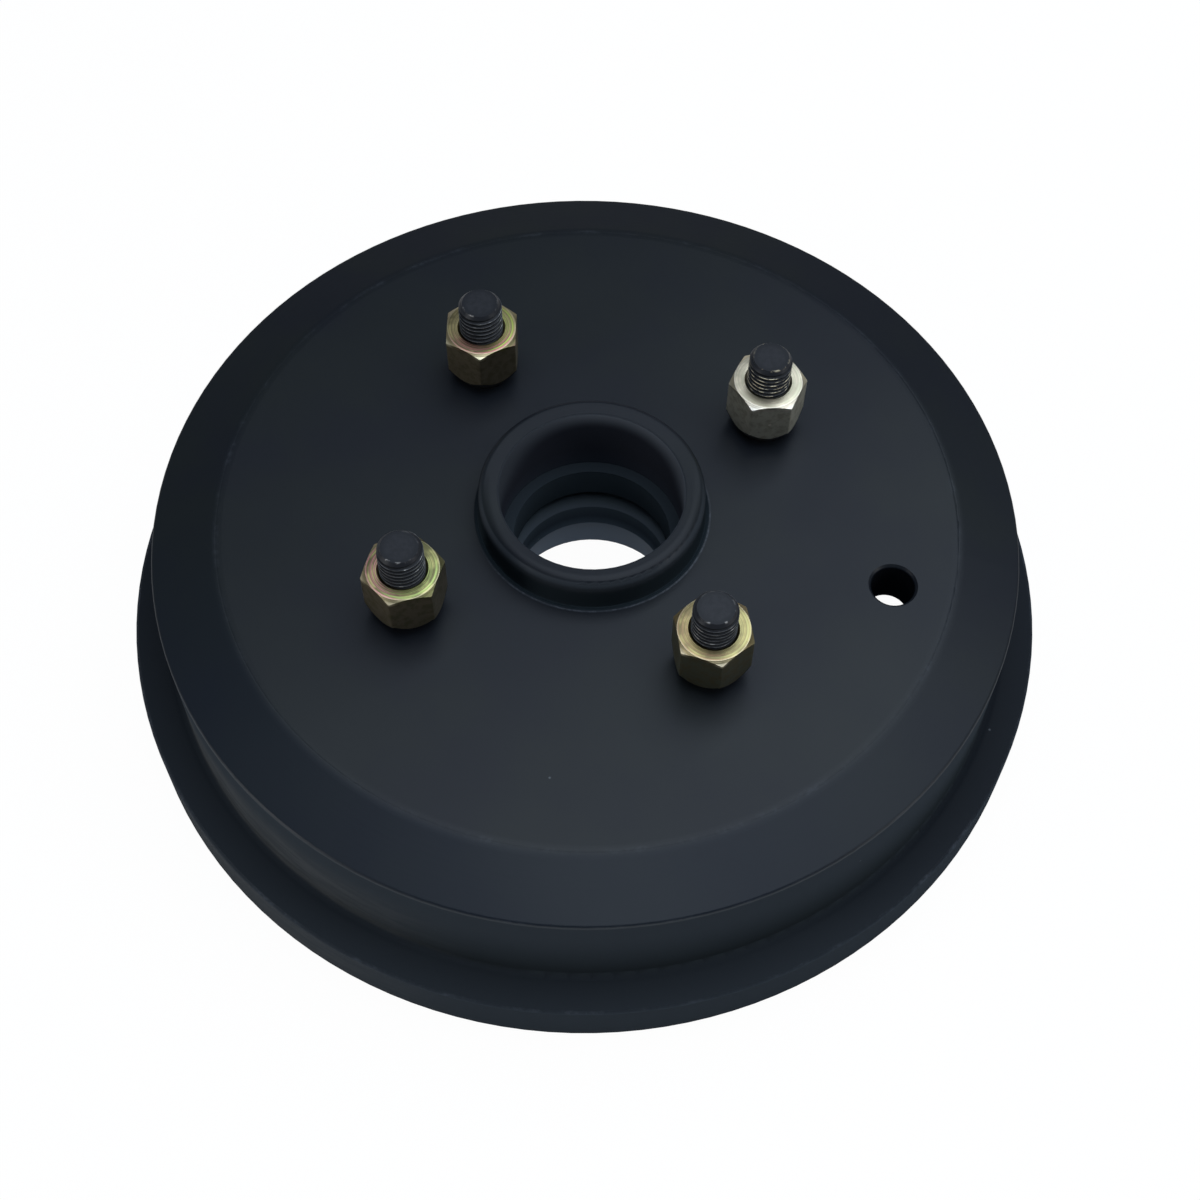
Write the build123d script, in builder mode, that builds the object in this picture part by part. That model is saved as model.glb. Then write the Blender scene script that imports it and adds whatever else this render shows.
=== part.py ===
from build123d import *
import math
import os

# A brake drum cast in one piece with its hub, four pressed-in wheel studs and four cone-seated wheel nuts.
# Millimetres. The drum axis is Z, the open rim lies on z = 0 and the wheel face looks up.

# Section of the drum from the friction surface outwards
friction_radius = 110.0
drum_wall = 8.6
lip_overhang = 10.4
lip_thickness = 16.1
lip_edge_chamfer = 0.8
wall_root_fillet = 1.6

# Wheel face and the cone round it
face_height = 54.2
cone_width = 17.8
cone_drop = 5.4
wall_edge_fillet = 0.9
face_edge_fillet = 2.4

# Inside of the drum
rim_mouth_chamfer = 1.5
web_thickness = 15.0
web_corner_fillet = 5.0
grinding_relief_width = 3.0
grinding_relief_depth = 0.8

# Groove in the rim that the edge of the back plate runs in
dust_groove_land = 7.4
dust_groove_width = 4.0
dust_groove_depth = 7.0
dust_groove_chamfer = 0.6

# Bearing seats in the hub, its shoulders and the grease space between them, stacked from the top down
seat_radius = 25.15
shoulder_depth = 3.35
outer_seat_length = 22.8
outer_shoulder_length = 10.4
grease_space_length = 7.4
grease_space_depth = 2.8
inner_shoulder_length = 8.4
inner_seat_length = 14.8
outer_mouth_chamfer = 0.25
inner_mouth_chamfer = 0.3

# Hub boss on the wheel face and hub barrel inside the drum
boss_height = 10.0
boss_wall = 5.45
boss_edge_fillet = 1.6
boss_root_fillet = 1.6
barrel_root_wall = 7.85
barrel_root_fillet = 4.0
barrel_end_wall = 5.65
barrel_end_chamfer = 1.0

# Adjuster hole through the web
adjuster_hole_radius = 6.0
adjuster_hole_chamfer = 0.75
adjuster_hole_inset = 25.6
adjuster_hole_azimuth = -8.6

# Wheel studs, pressed in from the inside of the web. The free thread is drawn at its crest radius.
# Below the nut's top the stud is drawn at its pitch radius, where the stud's and the nut's thread meet.
stud_count = 4
stud_circle_diameter = 114.3
first_stud_azimuth = 130.2
stud_thread_radius = 6.0
stud_thread_pitch = 1.5
stud_length = 43.9
stud_tip_chamfer = 1.15
stud_tip_length = 1.35
stud_neck_growth = 0.55
stud_neck_length = 11.0
stud_neck_lead = 0.5
stud_serration_count = 24
stud_serration_depth = 0.2
stud_serration_width = 0.9
stud_serration_angle = 62.0
stud_head_overhang = 2.65
stud_head_thickness = 4.4
stud_head_chamfer = 0.8
stud_press_clearance = 0.02

# Wheel nuts, with a cone seat towards the wheel face
nut_width = 19.0
nut_height = 18.8
nut_nose_wall = 1.6
nut_seat_half_angle = 30.0
nut_top_inset = 0.1
nut_top_chamfer_angle = 32.0
nut_mouth_growth = 0.5
nut_thread_clearance = 0.02
nut_corner_azimuths = (-83.0, -48.7, -73.1, -98.0)

# Derived radii
wall_radius = friction_radius + drum_wall
lip_radius = wall_radius + lip_overhang
face_radius = wall_radius - cone_width
dust_groove_outer_radius = lip_radius - dust_groove_land
dust_groove_inner_radius = dust_groove_outer_radius - dust_groove_width
relief_radius = friction_radius + grinding_relief_depth
shoulder_radius = seat_radius - shoulder_depth
grease_space_radius = shoulder_radius + grease_space_depth
boss_radius = seat_radius + boss_wall
barrel_root_radius = seat_radius + barrel_root_wall
barrel_end_radius = seat_radius + barrel_end_wall
adjuster_hole_place_radius = friction_radius - adjuster_hole_inset
stud_circle_radius = stud_circle_diameter / 2
stud_pitch_radius = stud_thread_radius - 3 / 8 * stud_thread_pitch * math.cos(math.radians(30))
stud_tip_radius = stud_thread_radius - stud_tip_chamfer
stud_neck_radius = stud_thread_radius + stud_neck_growth
stud_neck_root_radius = stud_neck_radius - stud_serration_depth
stud_head_radius = stud_neck_radius + stud_head_overhang
stud_hole_radius = stud_neck_radius + stud_press_clearance
nut_bore_radius = stud_pitch_radius + nut_thread_clearance
nut_mouth_radius = stud_thread_radius + nut_mouth_growth
nut_nose_radius = nut_bore_radius + nut_nose_wall
nut_top_radius = nut_width / 2 - nut_top_inset
nut_corner_radius = nut_width / math.sqrt(3)

# Derived heights above the rim
wall_height = face_height - cone_drop
web_underside = face_height - web_thickness
nut_top_height = face_height + nut_height
relief_floor = web_underside - web_corner_fillet - grinding_relief_width
hub_top_height = face_height + boss_height
outer_seat_floor = hub_top_height - outer_seat_length
outer_shoulder_floor = outer_seat_floor - outer_shoulder_length
inner_shoulder_top = outer_shoulder_floor - grease_space_length
grease_cone_top = inner_shoulder_top + grease_space_depth
inner_seat_roof = inner_shoulder_top - inner_shoulder_length
barrel_end_height = inner_seat_roof - inner_seat_length


def corner(sketch, radius, height):
    """The profile's corner at this radius and height."""
    return sketch.vertices().sort_by_distance(Vector(radius, height, 0))[0]


def place_on_face(radius, azimuth, height):
    """A level plane at this radius and azimuth, with its x axis pointing away from the drum axis."""
    angle = math.radians(azimuth)
    outward = Vector(math.cos(angle), math.sin(angle), 0)
    return Plane(origin=outward * radius + Vector(0, 0, height), x_dir=outward, z_dir=(0, 0, 1))


def stud_azimuth(index):
    """The azimuth of a stud, counted clockwise as seen from above the wheel face."""
    return first_stud_azimuth - index * 360 / stud_count


def build_drum():
    """The casting: one turned profile, then the stud holes and the adjuster hole."""
    bore_points = [
        (seat_radius, barrel_end_height),
        (seat_radius, inner_seat_roof),
        (shoulder_radius, inner_seat_roof),
        (shoulder_radius, inner_shoulder_top),
        (grease_space_radius, grease_cone_top),
        (grease_space_radius, outer_shoulder_floor),
        (shoulder_radius, outer_shoulder_floor),
        (shoulder_radius, outer_seat_floor),
        (seat_radius, outer_seat_floor),
        (seat_radius, hub_top_height),
    ]
    outside_points = [
        (boss_radius, hub_top_height),
        (boss_radius, face_height),
        (face_radius, face_height),
        (wall_radius, wall_height),
        (wall_radius, lip_thickness),
        (lip_radius, lip_thickness),
        (lip_radius, 0),
        (dust_groove_outer_radius, 0),
        (dust_groove_outer_radius, dust_groove_depth),
        (dust_groove_inner_radius, dust_groove_depth),
        (dust_groove_inner_radius, 0),
    ]
    inside_points = [
        (friction_radius, 0),
        (friction_radius, relief_floor),
        (relief_radius, relief_floor + grinding_relief_depth),
        (relief_radius, web_underside),
        (barrel_root_radius, web_underside),
        (barrel_end_radius, barrel_end_height),
    ]

    with BuildPart() as drum:
        with BuildSketch(Plane.XZ) as profile:
            with BuildLine():
                Polyline(*bore_points, *outside_points, *inside_points, close=True)
            make_face()
            chamfer(corner(profile, seat_radius, hub_top_height), outer_mouth_chamfer)
            fillet(corner(profile, boss_radius, hub_top_height), boss_edge_fillet)
            fillet(corner(profile, boss_radius, face_height), boss_root_fillet)
            fillet(corner(profile, face_radius, face_height), face_edge_fillet)
            fillet(corner(profile, wall_radius, wall_height), wall_edge_fillet)
            fillet(corner(profile, wall_radius, lip_thickness), wall_root_fillet)
            fillet(corner(profile, relief_radius, web_underside), web_corner_fillet)
            fillet(corner(profile, barrel_root_radius, web_underside), barrel_root_fillet)
            chamfer(corner(profile, lip_radius, lip_thickness), lip_edge_chamfer)
            chamfer(corner(profile, lip_radius, 0), lip_edge_chamfer)
            chamfer(corner(profile, dust_groove_outer_radius, 0), dust_groove_chamfer)
            chamfer(corner(profile, dust_groove_inner_radius, 0), dust_groove_chamfer)
            chamfer(corner(profile, friction_radius, 0), rim_mouth_chamfer)
            chamfer(corner(profile, barrel_end_radius, barrel_end_height), barrel_end_chamfer)
            chamfer(corner(profile, seat_radius, barrel_end_height), inner_mouth_chamfer)
        revolve(axis=Axis.Z)

        for index in range(stud_count):
            stud_place = place_on_face(stud_circle_radius, stud_azimuth(index), web_underside)
            with BuildSketch(stud_place):
                Circle(stud_hole_radius)
            extrude(amount=web_thickness, mode=Mode.SUBTRACT)

        adjuster_place = place_on_face(adjuster_hole_place_radius, adjuster_hole_azimuth, web_underside)
        with BuildSketch(adjuster_place):
            Circle(adjuster_hole_radius)
        extrude(amount=web_thickness, mode=Mode.SUBTRACT)
        hole_mouth_place = place_on_face(adjuster_hole_place_radius, adjuster_hole_azimuth, face_height)
        with BuildSketch(hole_mouth_place):
            Circle(adjuster_hole_radius + adjuster_hole_chamfer)
        extrude(amount=-adjuster_hole_chamfer, taper=45, mode=Mode.SUBTRACT)

    drum.part.label = "hub_drum"
    return drum.part


def build_stud(index):
    """One wheel stud: round head, neck and threaded shank in one turned profile, then the serrations on the neck."""
    seat = place_on_face(stud_circle_radius, stud_azimuth(index), web_underside)
    turning_plane = Plane(origin=seat.origin, x_dir=seat.x_dir, z_dir=-seat.y_dir)
    with BuildPart() as stud:
        with BuildSketch(turning_plane) as profile:
            with BuildLine():
                Polyline(
                    (0, -stud_head_thickness),
                    (stud_head_radius, -stud_head_thickness),
                    (stud_head_radius, 0),
                    (stud_neck_root_radius, 0),
                    (stud_neck_root_radius, stud_neck_length - stud_neck_lead),
                    (stud_pitch_radius, stud_neck_length),
                    (stud_pitch_radius, nut_top_height - web_underside),
                    (stud_thread_radius, nut_top_height - web_underside),
                    (stud_thread_radius, stud_length - stud_tip_length),
                    (stud_tip_radius, stud_length),
                    (0, stud_length),
                    close=True,
                )
            make_face()
            chamfer(corner(profile, stud_head_radius, -stud_head_thickness), stud_head_chamfer)
        revolve(axis=Axis(seat.origin, (0, 0, 1)))

        tooth_foot = stud_neck_root_radius * math.cos(stud_serration_width / 2 / stud_neck_root_radius)
        with BuildSketch(seat):
            with PolarLocations(tooth_foot, stud_serration_count):
                Trapezoid(
                    stud_serration_width,
                    stud_neck_radius - tooth_foot,
                    stud_serration_angle,
                    rotation=-90,
                    align=(Align.CENTER, Align.MIN),
                )
        extrude(amount=stud_neck_length - stud_neck_lead)
    stud.part.label = f"wheel_stud_{index + 1}"
    return stud.part


def build_nut(index):
    """One wheel nut: a hexagon trimmed by a turned envelope that holds its cone seat and top chamfer."""
    centre = place_on_face(stud_circle_radius, stud_azimuth(index), face_height).origin
    seat = Plane(origin=centre, z_dir=(0, 0, 1)).rotated((0, 0, nut_corner_azimuths[index % len(nut_corner_azimuths)]))
    turning_plane = Plane(origin=centre, x_dir=(1, 0, 0), z_dir=(0, -1, 0))
    seat_slope = math.tan(math.radians(nut_seat_half_angle))
    top_slope = math.tan(math.radians(nut_top_chamfer_angle))
    envelope_radius = nut_corner_radius + 1
    seat_cone_height = (envelope_radius - nut_nose_radius) / seat_slope
    top_chamfer_height = (envelope_radius - nut_top_radius) * top_slope
    mouth_depth = nut_mouth_radius - nut_bore_radius
    with BuildPart() as nut:
        with BuildSketch(seat):
            RegularPolygon(nut_corner_radius, 6)
        extrude(amount=nut_height)
        with BuildSketch(turning_plane):
            with BuildLine():
                Polyline(
                    (nut_bore_radius, 0),
                    (nut_nose_radius, 0),
                    (envelope_radius, seat_cone_height),
                    (envelope_radius, nut_height - top_chamfer_height),
                    (nut_top_radius, nut_height),
                    (nut_mouth_radius, nut_height),
                    (nut_bore_radius, nut_height - mouth_depth),
                    close=True,
                )
            make_face()
        revolve(axis=Axis(centre, (0, 0, 1)), mode=Mode.INTERSECT)
    nut.part.label = f"wheel_nut_{index + 1}"
    return nut.part


os.makedirs("parts", exist_ok=True)
pieces = [build_drum()]
pieces += [build_stud(index) for index in range(stud_count)]
pieces += [build_nut(index) for index in range(stud_count)]
for piece in pieces:
    export_step(piece, f"parts/{piece.label}.step")
    print(piece.label, f"{piece.volume / 1000:.1f} cm3")
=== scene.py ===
"""Looks of a brake drum with its hub, four wheel studs and four wheel nuts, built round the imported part."""

import logging
import math
from abc import ABC, abstractmethod
from collections.abc import Callable, Mapping, Sequence
from dataclasses import dataclass, field
from enum import Enum
from functools import cached_property, reduce
from operator import or_
from typing import Any

import bpy
from mathutils import Matrix, Vector


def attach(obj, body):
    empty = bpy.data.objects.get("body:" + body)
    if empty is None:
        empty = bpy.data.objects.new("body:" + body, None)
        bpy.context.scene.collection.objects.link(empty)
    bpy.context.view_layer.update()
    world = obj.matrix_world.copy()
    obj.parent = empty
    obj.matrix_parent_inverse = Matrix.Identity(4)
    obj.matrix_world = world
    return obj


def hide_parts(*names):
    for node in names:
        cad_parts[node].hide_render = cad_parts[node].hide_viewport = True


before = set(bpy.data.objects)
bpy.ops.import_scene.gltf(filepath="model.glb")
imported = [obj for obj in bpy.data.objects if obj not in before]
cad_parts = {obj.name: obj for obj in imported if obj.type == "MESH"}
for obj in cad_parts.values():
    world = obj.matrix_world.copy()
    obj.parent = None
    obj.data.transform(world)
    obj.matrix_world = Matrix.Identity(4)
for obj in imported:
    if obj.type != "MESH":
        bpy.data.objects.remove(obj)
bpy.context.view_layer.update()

MM = 0.001
FULL_TURN = math.tau
OWN_PLACE = "own_place"
MIX_LOW_COLOUR, MIX_HIGH_COLOUR, MIX_COLOUR_OUTPUT = 6, 7, 2
THREAD_LEAD_IN = 2
WINDING_MERGE = 1e-6
DOUBLES_MERGE = 1e-7

Pair = tuple[float, float]
Triple = tuple[float, float, float]
Piece = bpy.types.Object
Material = bpy.types.Material

log = logging.getLogger("brake_drum")


class Wire:
    """An output socket whose arithmetic adds Math nodes to its own tree."""

    def __init__(self, bench: "NodeBench", socket: bpy.types.NodeSocket) -> None:
        """Keeps the socket and the bench that it belongs to."""
        self.bench = bench
        self.socket = socket

    def __add__(self, other: "Feed") -> "Wire":
        """The sum of both."""
        return self.bench.maths("ADD", self, other)

    def __radd__(self, other: "Feed") -> "Wire":
        """The sum of both."""
        return self.bench.maths("ADD", other, self)

    def __sub__(self, other: "Feed") -> "Wire":
        """This less the other."""
        return self.bench.maths("SUBTRACT", self, other)

    def __rsub__(self, other: "Feed") -> "Wire":
        """The other less this."""
        return self.bench.maths("SUBTRACT", other, self)

    def __mul__(self, other: "Feed") -> "Wire":
        """The product of both."""
        return self.bench.maths("MULTIPLY", self, other)

    def __rmul__(self, other: "Feed") -> "Wire":
        """The product of both."""
        return self.bench.maths("MULTIPLY", other, self)

    def __truediv__(self, other: "Feed") -> "Wire":
        """This divided by the other."""
        return self.bench.maths("DIVIDE", self, other)

    def __or__(self, other: "Feed") -> "Wire":
        """The larger of both, which joins two masks."""
        return self.bench.maths("MAXIMUM", self, other)

    def __neg__(self) -> "Wire":
        """The same size with the other sign."""
        return self.bench.maths("MULTIPLY", self, -1.0)

    def __abs__(self) -> "Wire":
        """The size without its sign."""
        return self.bench.maths("ABSOLUTE", self)

    def lifted(self, floor: float) -> "Wire":
        """A mask that goes from the floor to 1 as this one goes from 0 to 1."""
        return self * (1.0 - floor) + floor

    def fade(self, start: float, end: float, top: float = 1.0) -> "Wire":
        """A soft step over this measure.

        Args:
            start: Where the step is still nought.
            end: Where it has reached its top, above or below the start.
            top: Its greatest value.

        Returns:
            The wire of the step.
        """
        settings = {"interpolation_type": "SMOOTHSTEP"}
        if start < end:
            limits = {"From Min": start, "From Max": end, "To Min": 0.0, "To Max": top}
        else:
            limits = {"From Min": end, "From Max": start, "To Min": top, "To Max": 0.0}
        return self.bench.node("ShaderNodeMapRange", settings, {"Value": self, **limits})

    def length(self) -> "Wire":
        """How long this vector is."""
        return self.bench.vector_maths("LENGTH", self, output="Value")

    def distance(self, other: "Triple") -> "Wire":
        """How far this place is from another."""
        return self.bench.vector_maths("DISTANCE", self, other, output="Value")

    def scaled(self, x: float, y: float, z: float) -> "Wire":
        """This vector multiplied by a factor for each axis."""
        return self.bench.vector_maths("MULTIPLY", self, (x, y, z))

    def flat(self) -> "Wire":
        """This vector without its height."""
        return self.scaled(1.0, 1.0, 0.0)


Feed = Wire | float | int


class NodeBench:
    """Builds one node tree, for a material or for the world."""

    def __init__(self, tree: bpy.types.NodeTree) -> None:
        """Clears the tree that is to be built."""
        self.tree = tree
        tree.nodes.clear()

    def added(
        self, kind: str, settings: Mapping[str, Any] | None = None, sockets: Mapping[str | int, Any] | None = None
    ) -> bpy.types.Node:
        """Adds one node, as every node of the tree is added.

        Args:
            kind: The node's type name.
            settings: Its own settings, or the stops of its ramp under "stops".
            sockets: A value or a wire for each input, by name or number.

        Returns:
            The node.
        """
        made = self.tree.nodes.new(kind)
        for key, value in (settings or {}).items():
            if key == "stops":
                self._set_stops(made.color_ramp, value)
            else:
                setattr(made, key, value)
        for key, value in (sockets or {}).items():
            if isinstance(value, Wire):
                self.tree.links.new(value.socket, made.inputs[key])
            else:
                made.inputs[key].default_value = value
        return made

    def node(
        self,
        kind: str,
        settings: Mapping[str, Any] | None = None,
        sockets: Mapping[str | int, Any] | None = None,
        output: str | int = 0,
    ) -> Wire:
        """Adds one node and hands on one of its outputs, by name or number."""
        return Wire(self, self.added(kind, settings, sockets).outputs[output])

    def maths(self, operation: str, *feeds: Feed) -> Wire:
        """Adds a Math node over one, two or three feeds."""
        return self.node("ShaderNodeMath", {"operation": operation}, dict(enumerate(feeds)))

    def vector_maths(self, operation: str, *feeds: Any, output: str = "Vector") -> Wire:
        """Adds a Vector Math node over its feeds."""
        return self.node("ShaderNodeVectorMath", {"operation": operation}, dict(enumerate(feeds)), output)

    def axes(self, vector: Wire) -> tuple[Wire, Wire, Wire]:
        """The three numbers of a vector.

        Args:
            vector: The vector that is taken apart.

        Returns:
            Its x, y and z.
        """
        split = self.node("ShaderNodeSeparateXYZ", sockets={"Vector": vector})
        outputs = split.socket.node.outputs
        return Wire(self, outputs[0]), Wire(self, outputs[1]), Wire(self, outputs[2])

    def joined(self, x: Feed, y: Feed, z: Feed = 0.0) -> Wire:
        """A vector from three numbers."""
        return self.node("ShaderNodeCombineXYZ", sockets={0: x, 1: y, 2: z})

    def noise(self, place: Wire, scale: float, detail: float = 2.0, roughness: float = 0.5) -> Wire:
        """Cloudy noise between 0 and 1, its scale in lumps for each unit of the place."""
        sockets = {"Vector": place, "Scale": scale, "Detail": detail, "Roughness": roughness}
        return self.node("ShaderNodeTexNoise", sockets=sockets)

    def rings(self, along: Wire, scale: float, detail: float = 2.0) -> Wire:
        """Noise that changes along one measure only, as turned marks do."""
        sockets = {"W": along, "Scale": scale, "Detail": detail}
        return self.node("ShaderNodeTexNoise", {"noise_dimensions": "1D"}, sockets)

    def specks(self, place: Wire, spacing: float, size: float, share: float) -> Wire:
        """Sparse round dots.

        Args:
            place: The coordinates, in millimetres.
            spacing: The mean distance between the places that may hold a dot.
            size: A dot's radius.
            share: The share of those places that does hold one.

        Returns:
            A mask that is 1 in a dot.
        """
        sockets = {"Vector": place, "Scale": 1 / spacing}
        cells = self.node("ShaderNodeTexVoronoi", sockets=sockets, output="Distance")
        dot = cells.fade(size / spacing, 0.4 * size / spacing)
        draw = Wire(self, cells.socket.node.outputs["Color"])
        chosen = self.maths("LESS_THAN", self.axes(draw)[0], share)
        return dot * chosen

    def mix(self, mask: Feed, low: Any, high: Any) -> Wire:
        """A colour that goes from low to high as the mask goes from 0 to 1."""
        sockets = {0: mask, MIX_LOW_COLOUR: self.opaque(low), MIX_HIGH_COLOUR: self.opaque(high)}
        return self.node("ShaderNodeMix", {"data_type": "RGBA"}, sockets, MIX_COLOUR_OUTPUT)

    def layered(self, colour: Any, *layers: tuple[Wire, Any]) -> Wire:
        """A colour under layers, each a mask and the colour that it brings, from the lowest to the highest.

        Args:
            colour: The colour at the bottom.
            *layers: Each layer's mask and colour.

        Returns:
            The wire of the colour.
        """
        for mask, layer in layers:
            colour = self.mix(mask, colour, layer)
        return colour

    def bump(self, height: Wire, depth: float, under: Wire | None = None) -> Wire:
        """A normal from a height.

        Args:
            height: The height, counted in depths.
            depth: How much one of them is, in metres.
            under: A coarser normal that this one lies on.

        Returns:
            The wire of the normal.
        """
        sockets: dict[str | int, Any] = {"Strength": 1.0, "Distance": depth, "Height": height}
        if under:
            sockets["Normal"] = under
        return self.node("ShaderNodeBump", sockets=sockets)

    def attribute(self, name: str) -> Wire:
        """A vector that is kept in the mesh."""
        return self.node("ShaderNodeAttribute", {"attribute_name": name}, output="Vector")

    def place(self) -> Wire:
        """Where a point of the surface is in the part's frame, in millimetres."""
        coordinates = self.node("ShaderNodeTexCoord", output="Object")
        return coordinates.scaled(1 / MM, 1 / MM, 1 / MM)

    @staticmethod
    def opaque(colour: Any) -> Any:
        """A colour with its fourth number, or the wire that it already is."""
        return colour if isinstance(colour, Wire) else (*colour, 1.0)

    @staticmethod
    def _set_stops(ramp: bpy.types.ColorRamp, stops: Sequence[tuple[float, Triple]]) -> None:
        """Gives a ramp its stops, each a place and a colour.

        Args:
            ramp: The ramp of the node.
            stops: The stops, from 0 to 1.
        """
        while len(ramp.elements) < len(stops):
            ramp.elements.new(1.0)
        for element, (position, colour) in zip(ramp.elements, stops):
            element.position = position
            element.color = NodeBench.opaque(colour)


@dataclass(frozen=True)
class Finish(ABC):
    """What a surface looks like."""

    name: str

    @abstractmethod
    def shader(self, bench: NodeBench, piece: Any) -> Wire:
        """Builds the shader.

        Args:
            bench: The bench of the material.
            piece: The sizes that the finish follows, where it follows any.

        Returns:
            The shader's wire.
        """

    def material(self, piece: Any = None) -> Material:
        """Makes the material of the finish.

        Args:
            piece: The sizes that the finish follows, where it follows any.

        Returns:
            The finished material.
        """
        material = bpy.data.materials.new(self.name)
        material.use_nodes = True
        bench = NodeBench(material.node_tree)
        bench.added("ShaderNodeOutputMaterial", sockets={"Surface": self.shader(bench, piece)})
        return material


@dataclass(frozen=True)
class EdgeWearAndHighlight:
    """A band along a turned edge, by its place in the section: rubbed wear on some edges, a painted highlight line on
    others. Lengths in millimetres.
    """

    radius: float
    height: float
    width: float
    strength: float


class Surface:
    """What a finish measures on a turned shape: lengths in millimetres, and the azimuth in radians."""

    def __init__(self, bench: NodeBench, own: Wire | None = None) -> None:
        """Measures round the part's axis, or round the axis of the places that are kept in the mesh.

        Args:
            bench: The bench of the material.
            own: The places that are kept in the mesh, for a piece with its own axis.
        """
        self.bench = bench
        self.place = bench.place()
        self.own = own or self.place
        x, y, self.height = bench.axes(self.own)
        self.radius = self.own.flat().length()
        self.azimuth = bench.maths("ARCTAN2", y, x)

    def ring(self, base: float, start: float, end: float, top: float = 1.0) -> Wire:
        """A soft step over the radius, which starts and ends so far outside the base radius."""
        return self.radius.fade(base + start, base + end, top)

    def level(self, base: float, start: float, end: float, top: float = 1.0) -> Wire:
        """A soft step over the height, which starts and ends so far above the base height."""
        return self.height.fade(base + start, base + end, top)

    def side(self, middle: float, start: float, end: float) -> Wire:
        """A mask of one side of the shape.

        Args:
            middle: The azimuth of the middle of the side, in degrees.
            start: The cosine of the angle from there at which the mask is still nought.
            end: The cosine at which it is whole.

        Returns:
            The mask.
        """
        return self.bench.maths("COSINE", self.azimuth - math.radians(middle)).fade(start, end)

    def near(self, edge: EdgeWearAndHighlight) -> Wire:
        """A mask that is the edge's strength on the edge, and nought from its width on.

        Args:
            edge: The edge.

        Returns:
            The mask.
        """
        section = self.bench.joined(self.radius, self.height)
        distance = section.distance((edge.radius, edge.height, 0.0))
        return distance.fade(edge.width, 0.0, edge.strength)

    def clouds(self, scale: float, detail: float, roughness: float = 0.5) -> Wire:
        """Cloudy noise over the part, its scale in lumps for each millimetre."""
        return self.bench.noise(self.place, scale, detail, roughness)


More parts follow.
